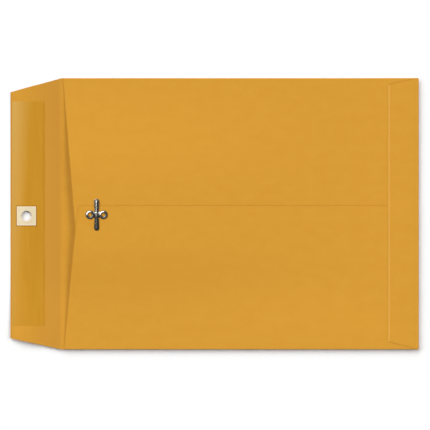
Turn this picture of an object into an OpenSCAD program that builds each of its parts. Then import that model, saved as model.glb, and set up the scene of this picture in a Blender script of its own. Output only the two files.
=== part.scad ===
// Clasp envelope of kraft paper, lying on its front with the seal flap open.
// Millimetres. X runs along the length, from the seal flap (-X) to the bottom fold (+X).
// Y runs across the width and Z points up. The origin is the middle of the front panel's
// outer face, which is the face that the envelope lies on.

/* [Blank] */
// Length from the seal flap's fold to the bottom fold
envelope_length = 317.5; // [260:0.5:400]
// Width between the two side folds
envelope_width = 241.3; // [200:0.1:320]
// Thickness of the kraft paper
paper = 0.16; // [0.1:0.01:0.3]
// Thickness of a dried glue line
glue = 0.05; // [0.03:0.01:0.1]

/* [Pocket] */
// Clear height of the pocket at the middle of its mouth
mouth_gape = 5; // [4:0.1:8]
// Clear height of the pocket along its creased edges
edge_gape = 0.8; // [0.5:0.1:2]
// Half width of the level middle of the back, between the two sloping shoulders
crown_half = 60; // [40:1:80]
// Level stretch of the back past the clasp, before it slopes to the bottom
clasp_seat_margin = 5; // [2:0.5:20]
// Pressed flat stretch of the back in front of the bottom flap
press_margin = 4; // [2:0.5:20]

/* [Side panels] */
// Free edge of the over panel, measured up from the centre line
seam_offset = 7; // [4:0.5:12]
// Width over which the two side panels lie on each other
seam_overlap = 25; // [20:0.5:40]
// Throat edge of the under panel, measured from the flap's fold at its side fold
under_throat_start = 1.3; // [0.5:0.1:4]
// Throat edge of the under panel, measured from the flap's fold at its free edge
under_throat_depth = 12.8; // [8:0.1:16]
// Throat edge of the over panel, measured from the flap's fold at its side fold
over_throat_start = 2.3; // [0.5:0.1:4]
// Throat edge of the over panel, measured from the flap's fold where the overlap starts
over_throat_depth = 12.2; // [8:0.1:16]
// Throat edge of the over panel, measured from the flap's fold at its free edge
over_lap_depth = 15.6; // [8:0.1:18]
// Strip left free of glue along the edges of every glue line
glue_margin = 2; // [1:0.5:5]

/* [Bottom flap] */
// Depth of the bottom flap from the bottom fold to its free edge
bottom_flap_depth = 26.95; // [15:0.05:40]
// How far the free edge stops short of the upper side fold
bottom_inset_upper = 6; // [3:0.1:12]
// How far the free edge stops short of the lower side fold
bottom_inset_lower = 7.2; // [3:0.1:12]
// How far the bottom fold stops short of each side fold
bottom_fold_inset = 0.8; // [0.5:0.1:2]

/* [Seal flap] */
// Depth of the seal flap from its fold to its tip edge
flap_depth = 45.5; // [43:0.5:60]
// How far the tip edge stops short of the upper side fold
flap_inset_upper = 12.5; // [5:0.1:20]
// How far the tip edge stops short of the lower side fold
flap_inset_lower = 10; // [5:0.1:20]
// Clear height between the closed flap and the back panels
flap_clearance = 0.3; // [0.2:0.05:1]
// Length of the gum strip
gum_length = 200; // [120:1:200]
// Width of the gum strip
gum_width = 29.5; // [25:0.5:32]
// Bare paper between the tip edge and the gum
gum_margin = 1.2; // [0.5:0.1:3]
// Thickness of the dried gum film
gum_film = 0.04; // [0.02:0.01:0.1]
// Side of the square patch that strengthens the flap's hole
patch_side = 16.9; // [14:0.1:20]
// Thickness of the patch
patch_thickness = 0.2; // [0.1:0.01:0.4]
// Diameter of the hole that the prongs pass through
flap_hole_d = 9.3; // [8:0.1:11]
// Height of the hole above the centre line
hole_offset = -1.95; // [-3:0.05:0]

/* [Clasp] */
// Distance of the clasp, and of the flap's hole, from the flap's fold
clasp_from_fold = 31.35; // [30:0.05:33]
// Height of the clasp above the centre line
clasp_offset = -0.9; // [-3:0.1:0]
// Thickness of the tinplate
tinplate = 0.3; // [0.2:0.02:0.4]
// Distance between the two eyelets
eyelet_pitch = 11.9; // [11:0.1:14]
// Outer diameter of an eyelet's rolled rim
eyelet_d = 7.8; // [7:0.1:8]
// Height of an eyelet's rolled rim above its flange
eyelet_rim_h = 0.8; // [0.5:0.05:0.9]
// Plain lip of the flange on each side of the rolled rim
eyelet_lip = 0.1; // [0.05:0.01:0.2]
// Diameter of the hole through an eyelet
eyelet_bore_d = 3.2; // [2.8:0.1:4]
// Diameter of an eyelet's clinched end inside the pocket
clinch_d = 6.8; // [6:0.1:8]
// Clear space between an eyelet's barrel and the holes in the paper
eyelet_clearance = 0.1; // [0.05:0.01:0.3]
// Width of the bridge where it meets the eyelets
bridge_w = 5.2; // [4.6:0.1:6]
// Width of the bridge at its waist
bridge_waist = 4; // [3:0.1:4.4]
// Radius of the hollows that form the waist
waist_r = 5; // [4:0.1:8]
// Height of the bridge's crowned arms at their ridge
arm_height = 0.85; // [0.6:0.05:1]
// Height of an arm's sides above the plate
arm_lip = 0.12; // [0.05:0.01:0.2]
// Gap between an arm and the prongs beside it
arm_gap = 0.25; // [0.2:0.05:0.5]
// Distance between the tips of the two prongs
prong_span = 28.2; // [24:0.1:32]
// Width of a prong at its root
prong_root_w = 3.6; // [3:0.1:4]
// Width of a prong at its round tip
prong_tip_w = 4.7; // [3.8:0.1:5]
// Radius of the crown across a prong
prong_crown_r = 4.1; // [3.5:0.1:6]
// Depth of a prong from its crown to its edges
prong_depth = 0.85; // [0.7:0.05:1]
// Distance between the bend lines of the two prongs
bend_spacing = 2.4; // [2:0.1:3]
// Diameter of the rolled bend at a prong's root
bend_d = 0.9; // [0.7:0.05:1]
// Clear space between a bend and the saddle that holds it
bend_clearance = 0.08; // [0.05:0.01:0.12]
// Thickness of the upright web between the two bends
saddle_web = 1.1; // [0.8:0.05:1.2]
// Plain ends of the trough under a prong
trough_margin = 1.5; // [1:0.1:3]

/* [Hidden] */
$fn = 96;

kraft = "#D89C3A";
kraft_inside = "#D09539";
dried_glue = "#E7D9B0";
gum_colour = "#C98F2D";
tag_stock = "#E9D9B6";
tin = "#8E8C86";

half_l = envelope_length / 2;
half_w = envelope_width / 2;
fold_x = -half_l;

// Heights of the layers: the ceiling of the pocket, and the lift of the over panel on it
ceiling_mouth = paper + mouth_gape;
ceiling_edge = paper + edge_gape;
over_lift = paper + glue;
bottom_flap_z = ceiling_edge + over_lift + paper + glue;
clasp_seat_z = ceiling_mouth + over_lift + paper;

// Outer radius of each creased edge, half of what it wraps
under_fold_r = (ceiling_edge + paper) / 2;
over_fold_r = (ceiling_edge + over_lift + paper) / 2;
bottom_fold_r = (bottom_flap_z + paper) / 2;

// The back is level as far as slope_start, slopes to slope_end and is pressed flat from there
panel_end = half_l - bottom_fold_r;
slope_start = fold_x + clasp_from_fold + eyelet_pitch / 2 + eyelet_d / 2 + clasp_seat_margin;
slope_end = half_l - bottom_flap_depth - press_margin;
under_edge_y = seam_offset - seam_overlap;

// The flap bends round the mouth, so its axis lies half-way up the closed stack
flap_axis_z = (clasp_seat_z + flap_clearance + paper) / 2;

// Places on the clasp, from its own centre on top of the over panel
eyelet_rim_w = (eyelet_d - eyelet_bore_d) / 2;
barrel_r = eyelet_bore_d / 2 + tinplate;
bend_r = bend_d / 2;
cradle_r = bend_r + bend_clearance;
bend_z = tinplate + bend_r + bend_clearance / 2;
prong_length = (prong_span - bend_spacing) / 2;

echo(flap_axis_z = flap_axis_z, bend_axis_z = clasp_seat_z + bend_z, clasp_seat_z = clasp_seat_z);

// X of a throat edge at height y, on a line from its side fold to where the overlap ends
function throat_x(start, depth, side_y, free_y, y) =
    fold_x + start + (depth - start) * (side_y - y) / (side_y - free_y);
function under_throat_x(y) =
    throat_x(under_throat_start, under_throat_depth, half_w, under_edge_y, y);
function over_throat_x(y) =
    throat_x(over_throat_start, over_throat_depth, -half_w, under_edge_y, y);

// Radius of the arc that rises by a height over a chord
function arc_radius(chord, height) = (chord * chord / 4 + height * height) / (2 * height);

// A strip of the back: level at the mouth, sloping to the bottom, flat under the bottom flap
module back_strip(lift, thickness) {
    profile = [
        [fold_x, ceiling_mouth],
        [slope_start, ceiling_mouth],
        [slope_end, ceiling_edge],
        [panel_end, ceiling_edge]
    ];
    lower = [for (p = profile) [p.x, p.y + lift]];
    upper = [for (i = [len(profile) - 1:-1:0]) [profile[i].x, profile[i].y + lift + thickness]];
    rotate([90, 0, 0])
        linear_extrude(envelope_width, center = true)
            polygon(concat(lower, upper));
}

// The part of a back strip that stands on a plan outline
module back_panel(lift, thickness, outline) {
    intersection() {
        back_strip(lift, thickness);
        linear_extrude(clasp_seat_z + paper) polygon(outline);
    }
}

module at_clasp() {
    translate([fold_x + clasp_from_fold, clasp_offset, clasp_seat_z]) children();
}

module at_eyelets() {
    for (side = [-1, 1])
        translate([side * eyelet_pitch / 2, 0, 0]) children();
}

// Holes in the paper for the two eyelet barrels
module eyelet_holes() {
    at_clasp()
        at_eyelets()
            translate([0, 0, -clasp_seat_z])
                cylinder(r = barrel_r + eyelet_clearance, h = 2 * clasp_seat_z);
}

// Half of a paper tube, open towards -x of its own section
module half_tube_section(radius) {
    intersection() {
        difference() {
            circle(r = radius);
            circle(r = radius - paper);
        }
        translate([0, -radius]) square([radius, 2 * radius]);
    }
}

// Creased side edge, for the +Y side
module side_fold(radius, throat_at_edge) {
    translate([throat_at_edge, half_w - radius, radius])
        rotate([90, 0, 90])
            linear_extrude(panel_end - throat_at_edge) half_tube_section(radius);
}

// Sloping part of a side panel between its creased edge and the level back, for the +Y side
module shoulder(radius, lift, throat_at_edge, throat_at_crown) {
    crease_y = half_w - radius;
    low = ceiling_edge + lift;
    high = ceiling_mouth + lift;
    rim = [
        [throat_at_edge, crease_y, low], [throat_at_crown, crown_half, high],
        [slope_start, crown_half, high], [slope_start, crease_y, low],
        [slope_end, crown_half, low], [slope_end, crease_y, low],
        [panel_end, crown_half, low], [panel_end, crease_y, low]
    ];
    n = len(rim);
    below = [[0, 1, 2], [0, 2, 3], [3, 2, 5], [2, 4, 5], [4, 7, 5], [4, 6, 7]];
    edge = [0, 1, 2, 4, 6, 7, 5, 3];
    top = [for (f = below) [f[2] + n, f[1] + n, f[0] + n]];
    walls = [
        for (i = [0:len(edge) - 1])
            let (a = edge[i], b = edge[(i + 1) % len(edge)])
                each [[a, a + n, b + n], [a, b + n, b]]
    ];
    polyhedron(concat(rim, [for (p = rim) p + [0, 0, paper]]), concat(below, top, walls));
}

// Address side of the envelope, flat on the table, with full-width ears beside the flap's fold
module front_panel() {
    outline = [
        [fold_x, -half_w], [fold_x + over_throat_start, -half_w],
        [fold_x + over_throat_start, -half_w + over_fold_r], [panel_end, -half_w + over_fold_r],
        [panel_end, half_w - under_fold_r], [fold_x + under_throat_start, half_w - under_fold_r],
        [fold_x + under_throat_start, half_w], [fold_x, half_w]
    ];
    color(kraft) linear_extrude(paper) polygon(outline);
}

// Upper side panel, which lies under the other one along the seam
module under_side_panel() {
    outline = [
        [under_throat_x(crown_half), crown_half], [panel_end, crown_half],
        [panel_end, under_edge_y], [under_throat_x(under_edge_y), under_edge_y]
    ];
    color(kraft) difference() {
        back_panel(0, paper, outline);
        eyelet_holes();
    }
}

module under_shoulder() {
    color(kraft)
        shoulder(under_fold_r, 0, fold_x + under_throat_start, under_throat_x(crown_half));
}

module under_side_fold() {
    color(kraft) side_fold(under_fold_r, fold_x + under_throat_start);
}

// Lower side panel, glued over the other one along the seam
module over_side_panel() {
    outline = [
        [over_throat_x(-crown_half), -crown_half], [panel_end, -crown_half],
        [panel_end, seam_offset], [fold_x + over_lap_depth, seam_offset],
        [over_throat_x(under_edge_y), under_edge_y]
    ];
    color(kraft) difference() {
        back_panel(over_lift, paper, outline);
        eyelet_holes();
    }
}

module over_shoulder() {
    color(kraft)
        mirror([0, 1, 0])
            shoulder(over_fold_r, over_lift, fold_x + over_throat_start, over_throat_x(-crown_half));
}

module over_side_fold() {
    color(kraft) mirror([0, 1, 0]) side_fold(over_fold_r, fold_x + over_throat_start);
}

// Glue line between the two side panels
module seam_glue() {
    start_x = fold_x + max(under_throat_depth, over_throat_depth, over_lap_depth) + glue_margin;
    outline = [
        [start_x, under_edge_y + glue_margin], [panel_end - glue_margin, under_edge_y + glue_margin],
        [panel_end - glue_margin, seam_offset - glue_margin], [start_x, seam_offset - glue_margin]
    ];
    color(dried_glue) difference() {
        back_panel(paper, glue, outline);
        eyelet_holes();
    }
}

// Creased bottom edge
module bottom_fold() {
    color(kraft)
        translate([panel_end, half_w - bottom_fold_inset, bottom_fold_r])
            rotate([90, 0, 0])
                linear_extrude(envelope_width - 2 * bottom_fold_inset)
                    half_tube_section(bottom_fold_r);
}

// Bottom flap, turned up over both side panels
module bottom_flap() {
    free_x = half_l - bottom_flap_depth;
    outline = [
        [panel_end, -half_w + bottom_fold_inset], [panel_end, half_w - bottom_fold_inset],
        [free_x, half_w - bottom_inset_upper], [free_x, -half_w + bottom_inset_lower]
    ];
    color(kraft)
        translate([0, 0, bottom_flap_z])
            linear_extrude(paper) polygon(outline);
}

// Glue line under the bottom flap, thicker on the under panel, which lies one layer lower
module bottom_glue() {
    start_x = half_l - bottom_flap_depth + glue_margin;
    depth = panel_end - glue_margin - start_x;
    lower_y = -half_w + bottom_inset_lower + glue_margin;
    upper_y = half_w - bottom_inset_upper - glue_margin;
    under_top = ceiling_edge + paper;
    over_top = under_top + over_lift;
    color(dried_glue) {
        translate([start_x, lower_y, over_top])
            cube([depth, seam_offset - lower_y, bottom_flap_z - over_top]);
        translate([start_x, seam_offset, under_top])
            cube([depth, upper_y - seam_offset, bottom_flap_z - under_top]);
    }
}

module flap_hole() {
    translate([fold_x - clasp_from_fold, hole_offset, -paper])
        cylinder(d = flap_hole_d, h = 2 * paper + patch_thickness + paper);
}

module patch_square() {
    translate([fold_x - clasp_from_fold, hole_offset]) square(patch_side, center = true);
}

// Seal flap, open and flat on the table
module seal_flap() {
    outline = [
        [fold_x, -half_w], [fold_x, half_w],
        [fold_x - flap_depth, half_w - flap_inset_upper],
        [fold_x - flap_depth, -half_w + flap_inset_lower]
    ];
    color(kraft_inside) difference() {
        linear_extrude(paper) polygon(outline);
        flap_hole();
    }
}

// Remoistenable gum on the inner face of the flap, left off round the patch
module flap_gum() {
    color(gum_colour)
        translate([0, 0, paper])
            linear_extrude(gum_film)
                difference() {
                    translate([fold_x - flap_depth + gum_margin, -gum_length / 2])
                        square([gum_width, gum_length]);
                    patch_square();
                }
}

// Square patch of tag stock round the flap's hole
module hole_patch() {
    color(tag_stock) difference() {
        translate([0, 0, paper]) linear_extrude(patch_thickness) patch_square();
        flap_hole();
    }
}

// Half section of an eyelet: rolled rim on top, barrel through the paper, clinched end inside
module eyelet_section() {
    stack = clasp_seat_z - ceiling_mouth;
    bore_r = eyelet_bore_d / 2;
    clinch_w = (clinch_d - eyelet_bore_d) / 2;
    translate([bore_r, -stack - tinplate]) square([tinplate, stack + 2 * tinplate]);
    translate([bore_r, -stack - tinplate]) square([clinch_w, tinplate]);
    translate([bore_r, 0]) square([eyelet_rim_w, tinplate]);
    roll_r = arc_radius(eyelet_rim_w - 2 * eyelet_lip, eyelet_rim_h);
    translate([bore_r + eyelet_rim_w / 2, tinplate])
        intersection() {
            translate([0, eyelet_rim_h - roll_r]) circle(r = roll_r);
            translate([-eyelet_rim_w, 0]) square(2 * eyelet_rim_w);
        }
}

// Waisted plate between the two eyelets
module bridge_outline() {
    difference() {
        square([eyelet_pitch, bridge_w], center = true);
        for (side = [-1, 1])
            translate([0, side * (bridge_waist / 2 + waist_r)]) circle(r = waist_r);
        at_eyelets() circle(d = eyelet_bore_d);
    }
}

// Crowned arms of the bridge, from the crest of each eyelet's rim to the sides of the prongs
module arms() {
    crown_r = arc_radius(bridge_w, arm_height - tinplate - arm_lip);
    slot_w = prong_root_w + 2 * arm_gap;
    intersection() {
        linear_extrude(arm_height)
            difference() {
                bridge_outline();
                square([slot_w, 2 * bridge_w], center = true);
                at_eyelets() circle(d = eyelet_bore_d + eyelet_rim_w);
            }
        translate([0, 0, arm_height - crown_r])
            rotate([0, 90, 0]) cylinder(r = crown_r, h = eyelet_pitch, center = true);
    }
}

// Round bar along X at a bend line
module bend_bar(radius, length) {
    translate([0, 0, bend_z])
        rotate([0, 90, 0]) cylinder(r = radius, h = length, center = true);
}

// Crown that rounds the prongs and the saddle across their width
module crown_bar(radius, from_y, to_y) {
    translate([0, from_y, bend_z + bend_r - prong_crown_r])
        rotate([-90, 0, 0]) cylinder(r = radius, h = to_y - from_y);
}

// Saddle in the middle of the bridge: an upright web with a cradle on each side for a bend
module saddle() {
    foot = bend_spacing;
    intersection() {
        difference() {
            union() {
                translate([-prong_root_w / 2, -foot / 2, tinplate / 2])
                    cube([prong_root_w, foot, bend_z - tinplate / 2 - bend_clearance]);
                translate([-prong_root_w / 2, -saddle_web / 2, tinplate / 2])
                    cube([prong_root_w, saddle_web, bend_z + bend_r]);
            }
            for (side = [-1, 1])
                translate([0, side * bend_spacing / 2, 0]) bend_bar(cradle_r, 2 * prong_root_w);
        }
        crown_bar(prong_crown_r, -foot, foot);
    }
}

// Fixed part of the clasp: two eyelets, the bridge with its arms between them, and the saddle
module clasp_base() {
    color(tin) at_clasp() {
        at_eyelets() rotate_extrude() eyelet_section();
        difference() {
            linear_extrude(tinplate) bridge_outline();
            for (side = [-1, 1])
                translate([0, side * bend_spacing / 2, 0]) bend_bar(cradle_r, 2 * prong_root_w);
        }
        arms();
        saddle();
    }
}

// Plan of a prong from its bend line to its round tip
module prong_outline() {
    tip_r = prong_tip_w / 2;
    polygon([
        [-prong_root_w / 2, 0], [prong_root_w / 2, 0],
        [tip_r, prong_length - tip_r], [-tip_r, prong_length - tip_r]
    ]);
    translate([0, prong_length - tip_r]) circle(r = tip_r);
}

// Prong that lies towards +Y: a stamped blade with a crown, a trough under it and a rolled root
module prong() {
    translate([0, bend_spacing / 2, 0])
        intersection() {
            union() {
                bend_bar(bend_r, prong_root_w);
                difference() {
                    translate([0, 0, bend_z + bend_r - prong_depth])
                        linear_extrude(prong_depth) prong_outline();
                    crown_bar(prong_crown_r - tinplate, trough_margin, prong_length - trough_margin);
                }
            }
            crown_bar(prong_crown_r, -bend_d, prong_span);
        }
}

module upper_prong() {
    color(tin) at_clasp() prong();
}

module lower_prong() {
    color(tin) at_clasp() rotate([0, 0, 180]) prong();
}

front_panel();
under_side_panel();
under_shoulder();
under_side_fold();
over_side_panel();
over_shoulder();
over_side_fold();
seam_glue();
bottom_fold();
bottom_flap();
bottom_glue();
seal_flap();
flap_gum();
hole_patch();
clasp_base();
upper_prong();
lower_prong();
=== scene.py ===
"""Clasp envelope of golden kraft paper, lying open on a white table and seen from straight above."""

import math

import bmesh
import bpy
import numpy as np
from mathutils import Matrix, Vector


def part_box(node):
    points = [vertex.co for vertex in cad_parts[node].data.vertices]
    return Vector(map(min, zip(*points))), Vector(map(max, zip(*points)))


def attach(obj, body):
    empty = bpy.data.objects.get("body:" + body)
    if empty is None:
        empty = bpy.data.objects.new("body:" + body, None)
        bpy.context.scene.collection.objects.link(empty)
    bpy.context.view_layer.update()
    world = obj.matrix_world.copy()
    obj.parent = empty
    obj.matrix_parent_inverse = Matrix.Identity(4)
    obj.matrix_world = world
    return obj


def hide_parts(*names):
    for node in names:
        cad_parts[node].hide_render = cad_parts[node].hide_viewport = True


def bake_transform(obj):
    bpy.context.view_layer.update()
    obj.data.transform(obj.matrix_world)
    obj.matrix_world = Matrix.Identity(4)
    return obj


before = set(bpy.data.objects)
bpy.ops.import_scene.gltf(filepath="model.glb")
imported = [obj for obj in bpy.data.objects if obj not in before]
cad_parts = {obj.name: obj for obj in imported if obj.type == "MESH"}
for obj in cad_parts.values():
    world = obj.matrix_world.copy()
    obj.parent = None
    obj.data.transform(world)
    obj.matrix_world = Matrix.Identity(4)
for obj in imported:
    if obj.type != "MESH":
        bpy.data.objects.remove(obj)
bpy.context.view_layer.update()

# Front panel and seal flap: one stretch of golden kraft paper, die-cut, and scored across where
# the flap folds. The panel lies on the table and lifts off it a little towards its creased edges;
# the flap lies open with the slight arch that its score leaves.
MM = 0.001


def node_box(name):
    """Lowest and highest corner of a piece of the frame, in mm."""
    low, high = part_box(name)
    return np.array(low) / MM, np.array(high) / MM


FRONT_LOW, FRONT_HIGH = node_box("front_panel")
PAPER = FRONT_HIGH[2] - FRONT_LOW[2]
HALF_WIDTH = FRONT_HIGH[1]
PANEL_END = FRONT_HIGH[0]
FOLD_X = FRONT_LOW[0]
TIP_X = node_box("seal_flap")[0][0]
UPPER_CREASE = (node_box("under_side_fold")[0][1] + HALF_WIDTH) / 2
LOWER_CREASE = (node_box("over_side_fold")[1][1] - HALF_WIDTH) / 2
UPPER_THROAT_START = 1.3
LOWER_THROAT_START = 2.3
FLAP_INSET_UPPER = 12.5
FLAP_INSET_LOWER = 10.0
FLAP_STRAIGHT = 100.0
FLAP_ARCH = 1.75
ARCH_START = 13.0
ARCH_CREST = 33.0
ARCH_FALL = 0.9
SCORE_REACH = 1.2
TIP_MARGIN = 1.5
PATCH_LOW, PATCH_HIGH = node_box("hole_patch")
HOLE_X = (PATCH_LOW[0] + PATCH_HIGH[0]) / 2
HOLE_Y = (PATCH_LOW[1] + PATCH_HIGH[1]) / 2
HOLE_RADIUS = 4.65
HOLE_SIDES = 64
PUNCH_DEPTH = 30.0


def ease(start, stop, value):
    """Smooth share of the way from start to stop, 0 to 1."""
    share = np.clip((value - start) / (stop - start), 0, 1)
    return share * share * (3 - 2 * share)


def stations(*marks):
    """Places along a line; the marks alternate a place and the step to the next place."""
    runs = zip(marks[:-2:2], marks[1:-1:2], marks[2::2])
    parts = [np.linspace(a, b, math.ceil(abs(b - a) / step), endpoint=False) for a, step, b in runs]
    return np.concatenate([*parts, [marks[-1]]])


def flap_arch(x):
    """Height of the open flap's arch above the table, with its valley along the score."""
    out = FOLD_X - x
    fall = ARCH_FALL * ease(ARCH_CREST, FOLD_X - TIP_X, out)
    return FLAP_ARCH * ease(ARCH_START, ARCH_CREST, out) * (1 - fall)


def sheet_grid(name, x, y, flat=None, **values):
    """A flat grid of quads in mm, with its unfolded plan as UV map and values on its points."""
    rows, columns = x.shape
    points = np.stack([x, y, np.zeros_like(x)], axis=-1).reshape(-1, 3)
    plan = np.stack(flat or (x, y), axis=-1).reshape(-1, 2)
    index = np.arange(rows * columns).reshape(rows, columns)
    corners = (index[:-1, :-1], index[1:, :-1], index[1:, 1:], index[:-1, 1:])
    quads = np.stack(corners, axis=-1).reshape(-1, 4)
    mesh = bpy.data.meshes.new(name)
    mesh.from_pydata((points * MM).tolist(), [], quads.tolist())
    mesh.uv_layers.new(name="sheet").data.foreach_set("uv", (plan[quads.ravel()] * MM).ravel())
    for key, value in values.items():
        spread = np.broadcast_to(value, x.shape).astype(np.float32).ravel()
        mesh.attributes.new(key, "FLOAT", "POINT").data.foreach_set("value", spread)
    piece = bpy.data.objects.new(name, mesh)
    bpy.context.scene.collection.objects.link(piece)
    return piece


def add(tree, kind, inputs=None, **settings):
    """Adds a node with its settings, and sets or links its inputs."""
    node = tree.nodes.new(kind)
    for key, value in settings.items():
        setattr(node, key, value)
    for key, value in (inputs or {}).items():
        if isinstance(value, bpy.types.NodeSocket):
            tree.links.new(value, node.inputs[key])
        else:
            node.inputs[key].default_value = value
    return node


def paint(code):
    """Linear colour of an sRGB hex value."""
    parts = [int(code[k:k + 2], 16) / 255 for k in (1, 3, 5)]
    return (*[p / 12.92 if p <= 0.04045 else ((p + 0.055) / 1.055) ** 2.4 for p in parts], 1.0)


# The rule that every sheet of the envelope follows: flat in the middle, lifted at the creased edges,
# with the back standing off the front most at the mouth. "turn" is 0 on the front, 1 on the back and
# in between round a crease; "lift" is what a sheet adds by itself.
puff = bpy.data.node_groups.new("puffed_envelope", "GeometryNodeTree")
PUFF_SIZES = {
    "Upper Rise": 0.35 * MM,
    "Lower Rise": 2.2 * MM,
    "End Rise": 2.1 * MM,
    "Rise Start": 55 * MM,
    "End Start": (PANEL_END - 75) * MM,
    "Corner Blend": 0.5 * MM,
    "Half Width": HALF_WIDTH * MM,
    "Panel End": PANEL_END * MM,
    "Crown Half": 24 * MM,
    "Slope Start": -114 * MM,
    "Slope End": node_box("bottom_flap")[0][0] * MM,
    "Edge Gape": 0.5 * MM,
    "Mouth Gape": 5.0 * MM,
    "Stack": 0.0,
}
puff.interface.new_socket("Geometry", in_out="INPUT", socket_type="NodeSocketGeometry")
puff_ids = {}
for size_name in PUFF_SIZES:
    socket = puff.interface.new_socket(size_name, in_out="INPUT", socket_type="NodeSocketFloat")
    puff_ids[size_name] = socket.identifier
puff_ids["Material"] = puff.interface.new_socket(
    "Material", in_out="INPUT", socket_type="NodeSocketMaterial"
).identifier
puff.interface.new_socket("Geometry", in_out="OUTPUT", socket_type="NodeSocketGeometry")
given = add(puff, "NodeGroupInput").outputs
position = add(puff, "GeometryNodeInputPosition").outputs[0]
place = add(puff, "ShaderNodeSeparateXYZ", {0: position}).outputs
out_y = add(puff, "ShaderNodeMath", {0: place["Y"]}, operation="ABSOLUTE").outputs[0]
is_upper = add(puff, "ShaderNodeMath", {0: place["Y"], 1: 0.0}, operation="GREATER_THAN").outputs[0]
side_rise = add(puff, "ShaderNodeMix", {
    "Factor": is_upper, "A": given["Lower Rise"], "B": given["Upper Rise"],
}, data_type="FLOAT").outputs[0]
side = add(puff, "ShaderNodeMapRange", {
    "Value": out_y, "From Min": given["Rise Start"], "From Max": given["Half Width"],
    "To Min": 0.0, "To Max": side_rise,
}, interpolation_type="SMOOTHSTEP").outputs[0]
end = add(puff, "ShaderNodeMapRange", {
    "Value": place["X"], "From Min": given["End Start"], "From Max": given["Panel End"],
    "To Min": 0.0, "To Max": given["End Rise"],
}, interpolation_type="SMOOTHSTEP").outputs[0]
rise = add(puff, "ShaderNodeMath", {
    0: side, 1: end, 2: given["Corner Blend"],
}, operation="SMOOTH_MAX").outputs[0]
across = add(puff, "ShaderNodeMapRange", {
    "Value": out_y, "From Min": given["Crown Half"], "From Max": given["Half Width"],
    "To Min": 1.0, "To Max": 0.0,
}, interpolation_type="SMOOTHSTEP").outputs[0]
along = add(puff, "ShaderNodeMapRange", {
    "Value": place["X"], "From Min": given["Slope Start"], "From Max": given["Slope End"],
    "To Min": 1.0, "To Max": 0.0,
}, interpolation_type="SMOOTHSTEP").outputs[0]
crown = add(puff, "ShaderNodeMath", {0: across, 1: along}, operation="MULTIPLY").outputs[0]
gape = add(puff, "ShaderNodeMapRange", {
    "Value": crown, "From Min": 0.0, "From Max": 1.0,
    "To Min": given["Edge Gape"], "To Max": given["Mouth Gape"],
}).outputs[0]
back = add(puff, "ShaderNodeMath", {0: gape, 1: given["Stack"]}, operation="ADD").outputs[0]
turned = add(puff, "GeometryNodeInputNamedAttribute", {"Name": "turn"}, data_type="FLOAT").outputs[0]
lifted = add(puff, "GeometryNodeInputNamedAttribute", {"Name": "lift"}, data_type="FLOAT").outputs[0]
laid = add(puff, "ShaderNodeMath", {0: back, 1: turned, 2: rise}, operation="MULTIPLY_ADD").outputs[0]
height = add(puff, "ShaderNodeMath", {0: lifted, 1: MM, 2: laid}, operation="MULTIPLY_ADD").outputs[0]
offset = add(puff, "ShaderNodeCombineXYZ", {"Z": height}).outputs[0]
raised = add(puff, "GeometryNodeSetPosition", {
    "Geometry": given["Geometry"], "Offset": offset,
}).outputs[0]
solid = add(puff, "GeometryNodeRealizeInstances", {"Geometry": raised}).outputs[0]
coated = add(puff, "GeometryNodeSetMaterial", {
    "Geometry": solid, "Material": given["Material"],
}).outputs[0]
add(puff, "NodeGroupOutput", {"Geometry": coated})


def bake(piece, sharp=40):
    """Turns a piece's modifiers into its plain mesh, smooth but for its sharp edges."""
    graph = bpy.context.evaluated_depsgraph_get()
    mesh = bpy.data.meshes.new_from_object(
        piece.evaluated_get(graph), preserve_all_data_layers=True, depsgraph=graph
    )
    for modifier in piece.modifiers:
        if modifier.type == "BOOLEAN":
            bpy.data.objects.remove(modifier.object)
    piece.modifiers.clear()
    piece.data = mesh
    mesh.shade_smooth()
    mesh.set_sharp_from_angle(angle=math.radians(sharp))


def settle(piece, material, thickness, stack=0.0, punches=()):
    """Brings a flat sheet to its place in the envelope, gives it thickness and punches its holes."""
    shape = piece.modifiers.new("puffed", "NODES")
    shape.node_group = puff
    for key, value in {**PUFF_SIZES, "Stack": stack * MM, "Material": material}.items():
        shape[puff_ids[key]] = value
    wall = piece.modifiers.new("thickness", "SOLIDIFY")
    wall.thickness = thickness * MM
    wall.offset = 0
    for x, y, radius, sides in punches:
        cutter_mesh = bpy.data.meshes.new("punch")
        cutter = bmesh.new()
        bmesh.ops.create_cone(
            cutter, segments=sides, cap_ends=True,
            radius1=radius * MM, radius2=radius * MM, depth=PUNCH_DEPTH * MM,
            matrix=Matrix.Translation((x * MM, y * MM, 0)) @ Matrix.Rotation(math.pi / sides, 4, "Z"),
        )
        cutter.to_mesh(cutter_mesh)
        cutter.free()
        tool = bpy.data.objects.new("punch", cutter_mesh)
        bpy.context.scene.collection.objects.link(tool)
        hole = piece.modifiers.new("hole", "BOOLEAN")
        hole.operation = "DIFFERENCE"
        hole.object = tool
    bake(piece)


def bare_material(name):
    """A new material with an empty node tree, and that tree."""
    material = bpy.data.materials.new(name)
    material.use_nodes = True
    material.node_tree.nodes.clear()
    return material, material.node_tree


# Golden kraft paper, uncoated and machine finished: a dull, warm yellow-brown with short fibres
# lying along the web, faint cloudiness, a slightly darker band of painted shade beside the score, dark
# lines of painted shade where a sheet is pressed down beside an edge on it, and a painted highlight
# along the bottom flap's free edge.
# Real fibres are 0.03 mm wide; they are drawn 0.35 mm wide and 1.1 mm long to show at all.
FIBRE_LENGTH = 1.1
FIBRE_WIDTH = 0.35
CLOUD_LENGTH = 14.0
CLOUD_WIDTH = 9.0
CLOUD_SHARE = 0.25
TOOTH = 0.03
BAND_FAINT = 0.15
BAND_START = FOLD_X - 30
BAND_FULL = FOLD_X - 7
BAND_FADE = FOLD_X - 3.2
BAND_END = FOLD_X + 1.5
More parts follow.
